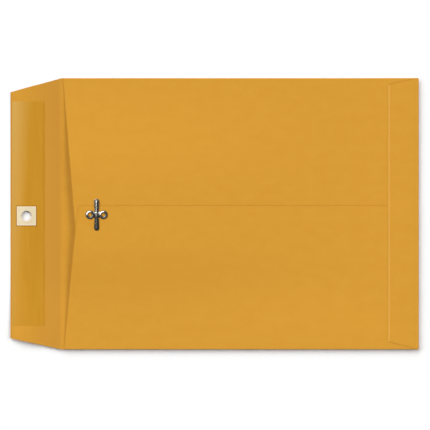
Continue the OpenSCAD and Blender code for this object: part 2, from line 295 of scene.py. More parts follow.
# Nearly all the values of a noise texture lie between these two.
NOISE_LOW = 0.3
NOISE_HIGH = 0.7
kraft, tree = bare_material("kraft_paper")
plan = add(tree, "ShaderNodeUVMap", uv_map="sheet").outputs[0]
fibre_space = add(tree, "ShaderNodeMapping", {
    "Vector": plan, "Scale": (1 / (FIBRE_LENGTH * MM), 1 / (FIBRE_WIDTH * MM), 1),
}).outputs[0]
fibres = add(tree, "ShaderNodeTexNoise", {
    "Vector": fibre_space, "Scale": 1.0, "Detail": 3.0, "Roughness": 0.6,
}, noise_dimensions="2D").outputs["Fac"]
cloud_space = add(tree, "ShaderNodeMapping", {
    "Vector": plan, "Scale": (1 / (CLOUD_LENGTH * MM), 1 / (CLOUD_WIDTH * MM), 1),
}).outputs[0]
clouds = add(tree, "ShaderNodeTexNoise", {
    "Vector": cloud_space, "Scale": 1.0, "Detail": 4.0, "Roughness": 0.55,
}, noise_dimensions="2D").outputs["Fac"]
pulp = add(tree, "ShaderNodeMix", {
    "Factor": CLOUD_SHARE, "A": fibres, "B": clouds,
}, data_type="FLOAT").outputs[0]
shade_share = add(tree, "ShaderNodeMapRange", {
    "Value": pulp, "From Min": NOISE_LOW, "From Max": NOISE_HIGH, "To Min": 0.0, "To Max": 1.0,
}).outputs[0]
base = add(tree, "ShaderNodeMix", {
    "Factor": shade_share, "A": paint("#D1932D"), "B": paint("#D99E39"),
}, data_type="RGBA").outputs["Result"]
plan_x = add(tree, "ShaderNodeSeparateXYZ", {0: plan}).outputs["X"]
# Painted shade: a darker band on the flap beside its score, faint towards the tip, full near the score,
# gone just past it.
near_score = add(tree, "ShaderNodeMapRange", {
    "Value": plan_x, "From Min": BAND_FADE * MM, "From Max": BAND_END * MM,
    "To Min": 1.0, "To Max": 0.0,
}, interpolation_type="SMOOTHSTEP").outputs[0]
off_score = add(tree, "ShaderNodeMapRange", {
    "Value": plan_x, "From Min": BAND_START * MM, "From Max": BAND_FULL * MM,
    "To Min": BAND_FAINT, "To Max": 1.0,
}, interpolation_type="SMOOTHSTEP").outputs[0]
score_shade = add(tree, "ShaderNodeMath", {0: near_score, 1: off_score}, operation="MULTIPLY").outputs[0]
score_shaded = add(tree, "ShaderNodeMix", {
    "Factor": score_shade, "A": base, "B": paint("#CB9034"),
}, data_type="RGBA").outputs["Result"]
# Painted shade: dark lines where another sheet's edge lies on this one, and along the flap's tip.
edge_shade_share = add(tree, "ShaderNodeAttribute", attribute_name="pressed").outputs["Fac"]
edge_shaded = add(tree, "ShaderNodeMix", {
    "Factor": edge_shade_share, "A": score_shaded, "B": paint("#C4882E"),
}, data_type="RGBA").outputs["Result"]
# Painted highlight: paler along the bottom flap's free edge, where the edge catches the light.
scuffed_share = add(tree, "ShaderNodeAttribute", attribute_name="scuffed").outputs["Fac"]
colour = add(tree, "ShaderNodeMix", {
    "Factor": scuffed_share, "A": edge_shaded, "B": paint("#EABB66"),
}, data_type="RGBA").outputs["Result"]
dull = add(tree, "ShaderNodeMapRange", {
    "Value": fibres, "From Min": NOISE_LOW, "From Max": NOISE_HIGH, "To Min": 0.78, "To Max": 0.9,
}).outputs[0]
tooth = add(tree, "ShaderNodeBump", {"Height": pulp, "Strength": 0.5, "Distance": TOOTH * MM}).outputs[0]
paper_shader = add(tree, "ShaderNodeBsdfPrincipled", {
    "Base Color": colour, "Roughness": dull, "Normal": tooth, "Specular IOR Level": 0.2,
}).outputs[0]
add(tree, "ShaderNodeOutputMaterial", {"Surface": paper_shader})

# The rows lie close together at the tip and where the score bends.
panel_x = stations(
    TIP_X, 0.3, TIP_X + TIP_MARGIN, 1.5,
    FOLD_X - 2 * SCORE_REACH, 0.12, FOLD_X + 2 * SCORE_REACH, 4, PANEL_END,
)
panel_y = stations(-HALF_WIDTH, 2.5, -FLAP_STRAIGHT, 4, FLAP_STRAIGHT, 2.5, HALF_WIDTH)
x, y = np.meshgrid(panel_x, panel_y, indexing="ij")
flap_share = np.clip((FOLD_X - x) / (FOLD_X - TIP_X), 0, 1)
past_upper_throat = x > FOLD_X + UPPER_THROAT_START
past_lower_throat = x > FOLD_X + LOWER_THROAT_START
upper_cut = FLAP_INSET_UPPER * flap_share + past_upper_throat * (HALF_WIDTH - UPPER_CREASE)
lower_cut = FLAP_INSET_LOWER * flap_share + past_lower_throat * (HALF_WIDTH + LOWER_CREASE)
end_share = np.clip((np.abs(y) - FLAP_STRAIGHT) / (HALF_WIDTH - FLAP_STRAIGHT), 0, 1)
y = y - end_share * np.where(y > 0, upper_cut, -lower_cut)
# Painted shade darkens the flap along its tip.
front_and_flap = sheet_grid(
    "front_and_flap", x, y,
    turn=0, lift=PAPER / 2 + flap_arch(x), pressed=1 - ease(0.3, 1.3, x - TIP_X),
)
settle(front_and_flap, kraft, PAPER, punches=[(HOLE_X, HOLE_Y, HOLE_RADIUS, HOLE_SIDES)])
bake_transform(front_and_flap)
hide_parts("front_panel", "seal_flap")

# Side panels: the front's two long wings, turned over along soft creases to make the pocket's back.
# The upper one lies underneath and stops below the middle; the lower one is glued over it, so its
# free edge is the seam. Both have a slanted throat edge.
GLUE = 0.05
SEAM_Y = node_box("over_side_panel")[1][1]
UNDER_EDGE_Y = node_box("under_side_panel")[0][1]
BOTTOM_FLAP_X = node_box("bottom_flap")[0][0]
THROAT_END_X = -140.0
UPPER_THROAT = ((UNDER_EDGE_Y, UPPER_CREASE), (12.8, UPPER_THROAT_START))
LOWER_THROAT = ((LOWER_CREASE, UNDER_EDGE_Y, SEAM_Y), (LOWER_THROAT_START, 12.2, 15.6))
CREASE_STEPS = 11
CREASE_MARGIN = 8.5
FOLD_INSET = 0.35
BOTTOM_UPPER = HALF_WIDTH - 6.0
BOTTOM_LOWER = 7.2 - HALF_WIDTH
PRESS_DEPTH = 0.16
PRESS_WIDTH = 1.3
NARROW_PRESS = 0.9
LINE_MARGIN = 3.0
FAINT_LINE = 0.15
THROAT_LINE = 0.6
FULL_LINE = 1.0
FREE_ENDS = ((BOTTOM_FLAP_X, BOTTOM_LOWER), (BOTTOM_FLAP_X, BOTTOM_UPPER))
FOLD_ENDS = ((PANEL_END, FOLD_INSET - HALF_WIDTH), (PANEL_END, HALF_WIDTH - FOLD_INSET))
OVER_OUTLINE = [(FOLD_X + depth, height) for height, depth in zip(*LOWER_THROAT)]


def from_line(x, y, start, stop):
    """Distance of places in plan from a straight line between two points."""
    run_x, run_y = stop[0] - start[0], stop[1] - start[1]
    share = ((x - start[0]) * run_x + (y - start[1]) * run_y) / (run_x ** 2 + run_y ** 2)
    share = np.clip(share, 0, 1)
    return np.hypot(x - start[0] - share * run_x, y - start[1] - share * run_y)


def side_panel(name, crease, bulge, free_edge, throat, stack):
    """One wing of the pocket: half a turn round its crease, then flat to its free edge."""
    hand = math.copysign(1, crease)
    angles = np.linspace(0, math.pi, CREASE_STEPS)
    reach = hand * (crease - free_edge)
    seam = min(hand * (crease - SEAM_Y), reach)
    before, after = seam - LINE_MARGIN, min(seam + LINE_MARGIN, reach)
    inward = stations(1.0, 0.35, CREASE_MARGIN, 3, before, 0.25, seam, 0.25, after, 3, reach)
    if seam == reach:
        under_edge = hand * (crease - UNDER_EDGE_Y)
        inward = stations(1.0, 0.35, CREASE_MARGIN, 3, under_edge, 3, before, 0.5, seam)
    y_line = np.concatenate([crease + hand * bulge * np.sin(angles), crease - hand * inward])
    turn = np.concatenate([(1 - np.cos(angles)) / 2, np.ones(len(inward))])
    plan_y = crease + hand * np.concatenate([bulge * angles, bulge * math.pi + inward])
    throat_x = FOLD_X + np.interp(y_line, *throat)
    near_mouth = np.linspace(0, 1, 9)[:-1, None] * (THROAT_END_X - throat_x) + throat_x
    rest = stations(
        THROAT_END_X, 4, BOTTOM_FLAP_X - LINE_MARGIN, 0.3, BOTTOM_FLAP_X + LINE_MARGIN, 1, PANEL_END
    )
    x = np.concatenate([near_mouth, np.repeat(rest[:, None], len(y_line), axis=1)])
    y = np.broadcast_to(y_line, x.shape)
    # Lines where another sheet's edge presses on this one, sunk a little and darkened with painted shade:
    # under the bottom flap, and for the panel that lies underneath, along the other panel's throat edge
    # and along the seam, where the painted shade comes and goes as the papers lie close or loose.
    lines = [(FREE_ENDS, PRESS_WIDTH, FAINT_LINE)]
    lines += [(ends, NARROW_PRESS, FULL_LINE) for ends in zip(FREE_ENDS, FOLD_ENDS)]
    if seam < reach:
        lines += [(ends, NARROW_PRESS, THROAT_LINE) for ends in zip(OVER_OUTLINE, OVER_OUTLINE[1:])]
        closeness = 0.35 + 0.2 * np.sin(x / 5.3) * np.sin(x / 13.1 + 1)
        lines.append(((OVER_OUTLINE[-1], (BOTTOM_FLAP_X, SEAM_Y)), NARROW_PRESS, closeness))
    sunk = np.zeros_like(x)
    shade = np.zeros_like(x)
    for ends, width, strength in lines:
        share = (1 - ease(0, width, from_line(x, y, *ends))) * (turn == 1)
        sunk = np.maximum(sunk, share)
        shade = np.maximum(shade, share * strength)
    piece = sheet_grid(
        name, x, y, (x, np.broadcast_to(plan_y, x.shape)),
        turn=turn, lift=PAPER / 2 - PRESS_DEPTH * sunk, pressed=shade,
    )
    settle(piece, kraft, PAPER, stack)
    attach(piece, "envelope")
    return piece


upper_side = side_panel(
    "upper_side_panel", UPPER_CREASE, HALF_WIDTH - PAPER / 2 - UPPER_CREASE, UNDER_EDGE_Y,
    UPPER_THROAT, PAPER,
)
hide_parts("under_side_panel", "under_shoulder", "under_side_fold")
lower_side = side_panel(
    "lower_side_panel", LOWER_CREASE, HALF_WIDTH - PAPER / 2 + LOWER_CREASE, SEAM_Y,
    LOWER_THROAT, 2 * PAPER + GLUE,
)
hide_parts("over_side_panel", "over_shoulder", "over_side_fold")

# Seam glue: a stripe of resin glue between the two side panels, laid on by a wheel and pressed thin.
# It shows only as a pale edge deep in the throat.
SEAM_GLUE_LOW, SEAM_GLUE_HIGH = node_box("seam_glue")
GLUE_FILM = 0.8 * GLUE
BUBBLE_SPACING = 2.0
PIT_DEPTH = 0.02
# Dried resin glue, pressed between papers: pale amber, half matt, with small bubbles about 2 mm apart.
dried_glue, tree = bare_material("dried_glue")
spot = add(tree, "ShaderNodeTexCoord").outputs["Object"]
bubbles = add(tree, "ShaderNodeTexVoronoi", {
    "Vector": spot, "Scale": 1 / (BUBBLE_SPACING * MM),
}).outputs["Distance"]
amber = add(tree, "ShaderNodeMix", {
    "Factor": bubbles, "A": paint("#D9C496"), "B": paint("#E8D9B4"),
}, data_type="RGBA").outputs["Result"]
pits = add(tree, "ShaderNodeBump", {
    "Height": bubbles, "Strength": 0.2, "Distance": PIT_DEPTH * MM,
}).outputs[0]
glue_shader = add(tree, "ShaderNodeBsdfPrincipled", {
    "Base Color": amber, "Roughness": 0.45, "Normal": pits, "IOR": 1.5,
}).outputs[0]
add(tree, "ShaderNodeOutputMaterial", {"Surface": glue_shader})

glue_x = stations(
    SEAM_GLUE_LOW[0], 4,
    BOTTOM_FLAP_X - LINE_MARGIN, 0.5, BOTTOM_FLAP_X + LINE_MARGIN, 4, SEAM_GLUE_HIGH[0],
)
glue_y = stations(SEAM_GLUE_LOW[1], 2, SEAM_GLUE_HIGH[1])
x, y = np.meshgrid(glue_x, glue_y, indexing="ij")
pressed = PRESS_DEPTH * (1 - ease(0, PRESS_WIDTH, np.abs(x - BOTTOM_FLAP_X)))
seam_glue = sheet_grid("seam_glue_stripe", x, y, turn=1, lift=PAPER / 2 - pressed)
settle(seam_glue, dried_glue, GLUE_FILM, PAPER + (PAPER + GLUE) / 2)
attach(seam_glue, "envelope")
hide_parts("seam_glue")

# Bottom flap: the strip that closes the pocket's lower end, turned up round a crease and glued over
# both side panels. Its ends are cut at a slant, and its free edge is rolled down by the folding plate
# and given a painted highlight, paler where the edge catches the light.
BOTTOM_BULGE = node_box("bottom_fold")[1][0] - PAPER / 2 - PANEL_END
BOTTOM_DEPTH = PANEL_END - BOTTOM_FLAP_X
ROLL_DEPTH = PRESS_DEPTH + 0.02
EDGE_HIGHLIGHT_LEVEL = 0.45


def bottom_layers(y):
    """How much higher the flap lies where the lower side panel is under it too."""
    return (PAPER + GLUE) * (1 - ease(SEAM_Y - 1, SEAM_Y + 5, y))


angles = np.linspace(0, math.pi, CREASE_STEPS)
inward = stations(1.0, 3, BOTTOM_DEPTH - 2, 0.2, BOTTOM_DEPTH)
x_line = np.concatenate([PANEL_END + BOTTOM_BULGE * np.sin(angles), PANEL_END - inward])
turn = np.concatenate([(1 - np.cos(angles)) / 2, np.ones(len(inward))])
plan_x_line = PANEL_END + np.concatenate([BOTTOM_BULGE * angles, BOTTOM_BULGE * math.pi + inward])
# Across the flap the places are shares of half its width, closer together over the seam.
x, y = np.meshgrid(x_line, stations(-1, 0.02, -0.1, 0.0125, 0.2, 0.02, 1), indexing="ij")
cut_share = np.clip((PANEL_END - x) / BOTTOM_DEPTH, 0, 1)
upper_half = HALF_WIDTH - FOLD_INSET + (BOTTOM_UPPER - HALF_WIDTH + FOLD_INSET) * cut_share
lower_half = HALF_WIDTH - FOLD_INSET - (BOTTOM_LOWER + HALF_WIDTH - FOLD_INSET) * cut_share
y = y * np.where(y > 0, upper_half, lower_half)
rolled = ROLL_DEPTH * (1 - ease(0, PRESS_WIDTH, x - BOTTOM_FLAP_X))
turn = np.broadcast_to(turn[:, None], x.shape)
plan_x_grid = np.broadcast_to(plan_x_line[:, None], x.shape)
bottom_flap = sheet_grid(
    "bottom_flap_and_fold", x, y, (plan_x_grid, y),
    turn=turn, lift=PAPER / 2 + turn * (bottom_layers(y) - rolled),
    scuffed=EDGE_HIGHLIGHT_LEVEL * (1 - ease(0.3, 1.6, x - BOTTOM_FLAP_X)),
)
settle(bottom_flap, kraft, PAPER, 2 * PAPER + GLUE)
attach(bottom_flap, "envelope")
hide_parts("bottom_flap", "bottom_fold")

# Bottom glue: a film of the same dried glue under the bottom flap, rolled on in one band and pressed
# thin. It follows the step where the lower side panel ends, and hardly shows.
BOTTOM_GLUE_LOW, BOTTOM_GLUE_HIGH = node_box("bottom_glue")
STEP_MARGIN = 8.0
glue_x = stations(BOTTOM_GLUE_LOW[0], 2, BOTTOM_GLUE_HIGH[0])
glue_y = stations(
    BOTTOM_GLUE_LOW[1], 3, SEAM_Y - STEP_MARGIN, 1, SEAM_Y + STEP_MARGIN, 3, BOTTOM_GLUE_HIGH[1]
)
x, y = np.meshgrid(glue_x, glue_y, indexing="ij")
bottom_glue = sheet_grid("bottom_glue_film", x, y, turn=1, lift=PAPER / 2 + bottom_layers(y))
settle(bottom_glue, dried_glue, GLUE_FILM, PAPER + (PAPER + GLUE) / 2)
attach(bottom_glue, "envelope")
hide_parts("bottom_glue")

# Gum: a band of remoistenable gum, rolled wet on the flap's inner face and dried to a thin film, with
# slightly wavy edges. It is left off round the patch.
GUM_LOW, GUM_HIGH = node_box("flap_gum")
GUM_FILM = 0.04
EDGE_ROOM = 0.25
PATCH_SIDE = PATCH_HIGH[0] - PATCH_LOW[0]
PATCH_ROOM = 0.04
PATCH_SHADE_MARGIN = 2.0
SHEEN_FULL = GUM_LOW[0] + 1
SHEEN_END = GUM_LOW[0] + 19
LOWER_SHEEN_CUT = 0.78
UPPER_SHEEN_CUT = 0.04
STREAK_WIDTH = 3.0
STREAK_LENGTH = 40.0
# Dried gum on kraft: a satin, more orange film that shows the paper through it, with a painted sheen,
# paler towards the flap's tip and upper end, faint roller streaks 3 mm apart, painted shade in a dark
# line round the patch, and a faint darker line along its edge nearest the score.
gum, tree = bare_material("dried_gum")
spot = add(tree, "ShaderNodeTexCoord").outputs["Object"]
spot_axes = add(tree, "ShaderNodeSeparateXYZ", {0: spot}).outputs
to_tip = add(tree, "ShaderNodeMapRange", {
    "Value": spot_axes["X"], "From Min": SHEEN_FULL * MM, "From Max": SHEEN_END * MM,
    "To Min": 1.0, "To Max": 0.0,
}).outputs[0]
sheen_cut = add(tree, "ShaderNodeMapRange", {
    "Value": spot_axes["Y"], "From Min": GUM_LOW[1] * MM, "From Max": GUM_HIGH[1] * MM,
    "To Min": LOWER_SHEEN_CUT, "To Max": UPPER_SHEEN_CUT,
}).outputs[0]
# Painted sheen, paler towards the flap's tip and its upper end.
painted_sheen = add(tree, "ShaderNodeMath", {
    0: to_tip, 1: sheen_cut,
}, operation="SUBTRACT", use_clamp=True).outputs[0]
streak_space = add(tree, "ShaderNodeMapping", {
    "Vector": spot, "Scale": (1 / (STREAK_WIDTH * MM), 1 / (STREAK_LENGTH * MM), 1),
}).outputs[0]
streaks = add(tree, "ShaderNodeTexNoise", {
    "Vector": streak_space, "Scale": 1.0, "Detail": 2.0,
}).outputs["Fac"]
streak_share = add(tree, "ShaderNodeMapRange", {
    "Value": streaks, "From Min": NOISE_LOW, "From Max": NOISE_HIGH, "To Min": 0.0, "To Max": 1.0,
}).outputs[0]
film = add(tree, "ShaderNodeMix", {
    "Factor": streak_share, "A": paint("#C78D25"), "B": paint("#CC9229"),
}, data_type="RGBA").outputs["Result"]
film_colour = add(tree, "ShaderNodeMix", {
    "Factor": painted_sheen, "A": film, "B": paint("#D2A452"),
}, data_type="RGBA").outputs["Result"]
# Painted shade in a dark line round the patch, and a faint darker line along the gum's edge nearest the
# score.
pool_share = add(tree, "ShaderNodeAttribute", attribute_name="pool").outputs["Fac"]
pooled = add(tree, "ShaderNodeMix", {
    "Factor": pool_share, "A": film_colour, "B": paint("#9A6616"),
}, data_type="RGBA").outputs["Result"]
film_dull = add(tree, "ShaderNodeMapRange", {
    "Value": streaks, "From Min": NOISE_LOW, "From Max": NOISE_HIGH, "To Min": 0.42, "To Max": 0.55,
}).outputs[0]
film_shader = add(tree, "ShaderNodeBsdfPrincipled", {
    "Base Color": pooled, "Roughness": film_dull, "Specular IOR Level": 0.15, "IOR": 1.47,
}).outputs[0]
add(tree, "ShaderNodeOutputMaterial", {"Surface": film_shader})


def wave(value, seed):
    """Small waviness of a rolled edge, in mm."""
    return 0.14 * np.sin(value / 7.3 + seed) + 0.1 * np.sin(value / 3.1 + 2.3 * seed)


def gum_stations(axis, step):
    """Places along the gum band, closer together beside the patch, where the painted shade lies."""
    low, high = PATCH_LOW[axis], PATCH_HIGH[axis]
    return stations(
        GUM_LOW[axis], step, low - PATCH_SHADE_MARGIN, 0.4, low, 1.5,
        high, 0.4, high + PATCH_SHADE_MARGIN, step, GUM_HIGH[axis],
    )


x, y = np.meshgrid(gum_stations(0, 1.5), gum_stations(1, 3), indexing="ij")
x_share = (x - GUM_LOW[0]) / (GUM_HIGH[0] - GUM_LOW[0])
y_share = (y - GUM_LOW[1]) / (GUM_HIGH[1] - GUM_LOW[1])
x_moved = (1 - ease(0, 0.12, x_share)) * (wave(y, 1.0) + EDGE_ROOM)
x_moved += ease(0.88, 1, x_share) * (wave(y, 2.0) - EDGE_ROOM)
y_moved = (1 - ease(0, 0.03, y_share)) * (wave(x, 3.0) + EDGE_ROOM)
y_moved += ease(0.97, 1, y_share) * (wave(x, 4.0) - EDGE_ROOM)
off_patch = np.maximum(np.abs(x - HOLE_X), np.abs(y - HOLE_Y)) - PATCH_SIDE / 2
# The gum is darkened with painted shade round the patch, and faintly along its edge nearest the score.
gum_band = sheet_grid(
    "gum_band", x + x_moved, y + y_moved,
    turn=0, lift=PAPER + GUM_FILM / 2 + flap_arch(x + x_moved),
    pool=np.maximum(1 - ease(0.2, 1.2, off_patch), 0.2 * ease(-2.2, -1.0, x - GUM_HIGH[0])),
)
patch_corner = (PATCH_SIDE + PATCH_ROOM) / math.sqrt(2)
settle(gum_band, gum, GUM_FILM, punches=[(HOLE_X, HOLE_Y, patch_corner, 4)])
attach(gum_band, "flap")
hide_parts("flap_gum")

# Patch: a square of manila tag stock, die-cut and glued on to stiffen the paper round the hole that
# the clasp's prongs go through. Hole and patch are punched together.
PATCH_THICK = PATCH_HIGH[2] - PATCH_LOW[2]
PATCH_EDGE = 1.6
MOTTLE = 3.0
CARD_TOOTH = 0.02
# Manila tag stock: smooth calendered card, cream, with a faint mottle about 3 mm across, a painted
# highlight that makes it paler along its outer cut edges, and a matt face.
tag_stock, tree = bare_material("manila_tag_stock")
spot = add(tree, "ShaderNodeTexCoord").outputs["Object"]
mottle = add(tree, "ShaderNodeTexNoise", {
    "Vector": spot, "Scale": 1 / (MOTTLE * MM), "Detail": 3.0,
}).outputs["Fac"]
mottle_share = add(tree, "ShaderNodeMapRange", {
    "Value": mottle, "From Min": NOISE_LOW, "From Max": NOISE_HIGH, "To Min": 0.0, "To Max": 1.0,
}).outputs[0]
card = add(tree, "ShaderNodeMix", {
    "Factor": mottle_share, "A": paint("#E5D4AE"), "B": paint("#EADBB9"),
}, data_type="RGBA").outputs["Result"]
rim_highlight_share = add(tree, "ShaderNodeAttribute", attribute_name="rim").outputs["Fac"]
card_colour = add(tree, "ShaderNodeMix", {
    "Factor": rim_highlight_share, "A": card, "B": paint("#F0E3C6"),
}, data_type="RGBA").outputs["Result"]
card_tooth = add(tree, "ShaderNodeBump", {
    "Height": mottle, "Strength": 0.15, "Distance": CARD_TOOTH * MM,
}).outputs[0]
card_shader = add(tree, "ShaderNodeBsdfPrincipled", {
    "Base Color": card_colour, "Roughness": 0.7, "Normal": card_tooth, "Specular IOR Level": 0.25,
}).outputs[0]
add(tree, "ShaderNodeOutputMaterial", {"Surface": card_shader})

patch_x, patch_y = (
    stations(low, 0.4, low + PATCH_EDGE, 0.9, high - PATCH_EDGE, 0.4, high)
    for low, high in zip(PATCH_LOW[:2], PATCH_HIGH[:2])
)
x, y = np.meshgrid(patch_x, patch_y, indexing="ij")
to_edge = PATCH_SIDE / 2 - np.maximum(np.abs(x - HOLE_X), np.abs(y - HOLE_Y))
# The rim takes a painted highlight, paler along the card's outer edges.
patch = sheet_grid(
    "tag_patch", x, y,
    turn=0, lift=PAPER + PATCH_THICK / 2 + flap_arch(x), rim=1 - ease(0.2, 1.0, to_edge),
)
settle(patch, tag_stock, PATCH_THICK, punches=[(HOLE_X, HOLE_Y, HOLE_RADIUS, HOLE_SIDES)])
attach(patch, "flap")
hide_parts("hole_patch")

# Clasp base: a bridge stamped from 0.3 mm tinplate, with low crowned arms and two drawn eyelets that
# cut their way through both side panels, keep the paper's slug in their bores and are clinched inside
# the pocket. A ribbed saddle in its middle holds the prongs.
SEAT_Z = node_box("over_side_panel")[1][2]
CLASP_LOW, CLASP_HIGH = node_box("clasp_base")
CLASP_X = (CLASP_LOW[0] + CLASP_HIGH[0]) / 2
CLASP_Y = (CLASP_LOW[1] + CLASP_HIGH[1]) / 2
SHARP_BEND = 50
EYELET_REACH = 5.95
EYELET_STEPS = 72
RIM_OUTER = 3.9
RIM_MIDDLE = 2.3
RIM_CREST = 1.1
RIM_CONE = 1.3
RIM_ROUND = 0.32
BORE = 1.6
BARREL = 1.9
CLINCH_DEPTH = 0.72
PETALS = 6
PETAL_REACH = 3.35
SLIT_DEPTH = 1.1
SLIT_POWER = 24
TIN = 0.3
PLATE = 0.25
PLATE_REACH = 4.0
PLATE_INSET = 0.05
ARM_HALF = 2.6
ARM_INNER = 1.85
ARM_OUTER = EYELET_REACH - 2.4
ARM_TOP = 0.66
WAIST_HALF = 2.0
WAIST_RADIUS = 5.0
WAIST_END = 4.5
SADDLE_HALF = 1.8
SADDLE_FOOT = 0.1
SADDLE_PITCH = 0.03
SADDLE_EDGE = ((0.66, 0.16), (0.62, 0.05), (0.56, 0.0), (0.5, 0.0))
RIB = 0.235
RIB_HALF = 0.66
WING_FALL = 0.035
PRONG_TOP = 1.24
STAIN_SIZE = 1.8
STAIN_SHARE = 0.1
DIE_MARK_SPACING = 0.35
DIE_MARK_DEPTH = 0.01
# Bright tinplate, stamped and drawn: mirror-like but softened by die marks, silver on its faces and
# painted dark and brownish on its steep sides and in its bends, a painted shade for the dark room that
# they would mirror, patchy at random. Real die marks are a few hundredths of a millimetre wide; they are
# drawn 0.35 mm apart.
tinplate, tree = bare_material("tinplate")
spot = add(tree, "ShaderNodeTexCoord").outputs["Object"]
# Painted shade: the steep sides and bends take the dark colour, the faces the bright one.
lit_face = add(tree, "ShaderNodeAttribute", attribute_name="lit_face").outputs["Fac"]
stain = add(tree, "ShaderNodeTexNoise", {
    "Vector": spot, "Scale": 1 / (STAIN_SIZE * MM), "Detail": 3.0,
}).outputs["Fac"]
lit_face_patchy = add(tree, "ShaderNodeMath", {
    0: stain, 1: STAIN_SHARE, 2: lit_face,
}, operation="MULTIPLY_ADD").outputs[0]
lit_face_share = add(tree, "ShaderNodeMapRange", {
    "Value": lit_face_patchy, "From Min": STAIN_SHARE, "From Max": 1.0, "To Min": 0.0, "To Max": 1.0,
}, interpolation_type="SMOOTHSTEP").outputs[0]
metal = add(tree, "ShaderNodeMix", {
    "Factor": lit_face_share, "A": paint("#47423B"), "B": paint("#C8C5BD"),
}, data_type="RGBA").outputs["Result"]
marks = add(tree, "ShaderNodeTexNoise", {
    "Vector": spot, "Scale": 1 / (DIE_MARK_SPACING * MM), "Detail": 2.0,
}).outputs["Fac"]
metal_dull = add(tree, "ShaderNodeMapRange", {
    "Value": marks, "From Min": NOISE_LOW, "From Max": NOISE_HIGH, "To Min": 0.17, "To Max": 0.22,
}).outputs[0]
die_marks = add(tree, "ShaderNodeBump", {
    "Height": marks, "Strength": 0.006, "Distance": DIE_MARK_DEPTH * MM,
}).outputs[0]
metal_shader = add(tree, "ShaderNodeBsdfPrincipled", {
    "Base Color": metal, "Metallic": 1.0, "Roughness": metal_dull, "Normal": die_marks,
}).outputs[0]
add(tree, "ShaderNodeOutputMaterial", {"Surface": metal_shader})


def skin(mesh, loops, ring=False):
    """Skins a row of closed loops of points in mm; a ring joins its last loop to its first."""
    rows = [[mesh.verts.new(Vector(point) * MM) for point in loop] for loop in loops]
    followers = rows[1:] + rows[:1] if ring else rows[1:]
    for near, far in zip(rows, followers):
        for k in range(len(near)):
            m = (k + 1) % len(near)
            mesh.faces.new((near[k], near[m], far[m], far[k]))
    if not ring:
        mesh.faces.new(rows[0][::-1])
        mesh.faces.new(rows[-1])


def forged(name, mesh):
    """Makes a plain object of a skinned shape: doubles merged, faces outwards."""
    bmesh.ops.remove_doubles(mesh, verts=mesh.verts, dist=1e-7)
    bmesh.ops.recalc_face_normals(mesh, faces=mesh.faces)
    data = bpy.data.meshes.new(name)
    mesh.to_mesh(data)
    mesh.free()
    piece = bpy.data.objects.new(name, data)
    bpy.context.scene.collection.objects.link(piece)
    return piece


def mark_lit_faces(piece):
    """Marks where the metal is painted bright: on its faces, and not on its steep sides, which take
    painted shade.
    """
    upward = np.array([vertex.normal.z for vertex in piece.data.vertices])
    bright = piece.data.attributes.new("lit_face", "FLOAT", "POINT")
    bright.data.foreach_set("value", ease(0.87, 0.93, np.abs(upward)).astype(np.float32))


def arm_half(x):
    """Half the bridge's width, waisted towards its middle."""
    out = np.minimum(np.abs(x), WAIST_END)
    waist = WAIST_HALF + WAIST_RADIUS - np.sqrt(WAIST_RADIUS ** 2 - out ** 2)
    return float(np.minimum(waist, ARM_HALF))


def rib_drop(x, strength=1.0):
    """How far the metal lies below the top of its pressed rib, out to its nearly flat wings."""
    out = np.abs(x)
    return float(RIB * (1 - strength * (1 - ease(0, RIB_HALF, out))) + WING_FALL * out)


# Each section of an eyelet runs over the rim from outside to bore, down the bore, out along the clinched
# petals, which are split by slits, and back up the outside of the barrel.
eyelet_mesh = bmesh.new()
eyelet_loops = []
for around in np.linspace(0, 2 * math.pi, EYELET_STEPS, endpoint=False):
    petal = PETAL_REACH - SLIT_DEPTH * max(0.0, math.cos(PETALS * around)) ** SLIT_POWER
    rim = [
        (RIM_MIDDLE + (RIM_OUTER - RIM_MIDDLE) * k, RIM_CREST * (1 - k ** RIM_CONE) ** RIM_ROUND)
        for k in np.sin(np.linspace(math.pi / 2, 0, 16))
    ]
    rim += [
        (RIM_MIDDLE + (RIM_MIDDLE - BORE) * math.cos(a), RIM_CREST * math.sin(a))
        for a in np.linspace(math.pi / 2, math.pi, 8)[1:]
    ]
    barrel = [
        (BORE, -0.35), (BORE + 0.02, -0.6), (BORE + 0.15, -CLINCH_DEPTH),
        (petal - 0.1, -CLINCH_DEPTH), (petal, -CLINCH_DEPTH + 0.12), (petal - 0.1, -0.44),
        (BARREL, -0.42), (BARREL, -0.1), (BARREL + 0.1, 0.0),
    ]
    eyelet_loops.append([(r * math.cos(around), r * math.sin(around), z) for r, z in rim + barrel])
skin(eyelet_mesh, eyelet_loops, ring=True)
eyelet = forged("eyelet", eyelet_mesh)

bridge_mesh = bmesh.new()
for hand in (-1, 1):
    arm_loops = []
    for x in ARM_INNER + np.linspace(0, 1, 17) * (ARM_OUTER - ARM_INNER):
        half = arm_half(x)
        crowned = [(half * k, PLATE + (ARM_TOP - PLATE) * (1 - k * k)) for k in np.linspace(1, -1, 25)]
        arm_loops.append([(hand * x, y, z) for y, z in [(half, 0.0), *crowned, (-half, 0.0)]])
    skin(bridge_mesh, arm_loops)
plate_loops = []
for x in np.linspace(-PLATE_REACH, PLATE_REACH, 17):
    half = arm_half(x) - PLATE_INSET
    plate_loops.append([(x, -half, 0.0), (x, half, 0.0), (x, half, PLATE), (x, -half, PLATE)])
skin(bridge_mesh, plate_loops)
saddle_loops = []
saddle_rows = [*((-y, drop) for y, drop in SADDLE_EDGE), (0.0, 0.0), *reversed(SADDLE_EDGE)]
for y, drop in saddle_rows:
    top = PRONG_TOP - drop - SADDLE_PITCH * (y + SADDLE_EDGE[0][0])
    crest = [(x, y, top - rib_drop(x)) for x in np.linspace(-SADDLE_HALF, SADDLE_HALF, 41)]
    saddle_loops.append([(-SADDLE_HALF, y, SADDLE_FOOT), *crest, (SADDLE_HALF, y, SADDLE_FOOT)])
skin(bridge_mesh, saddle_loops)
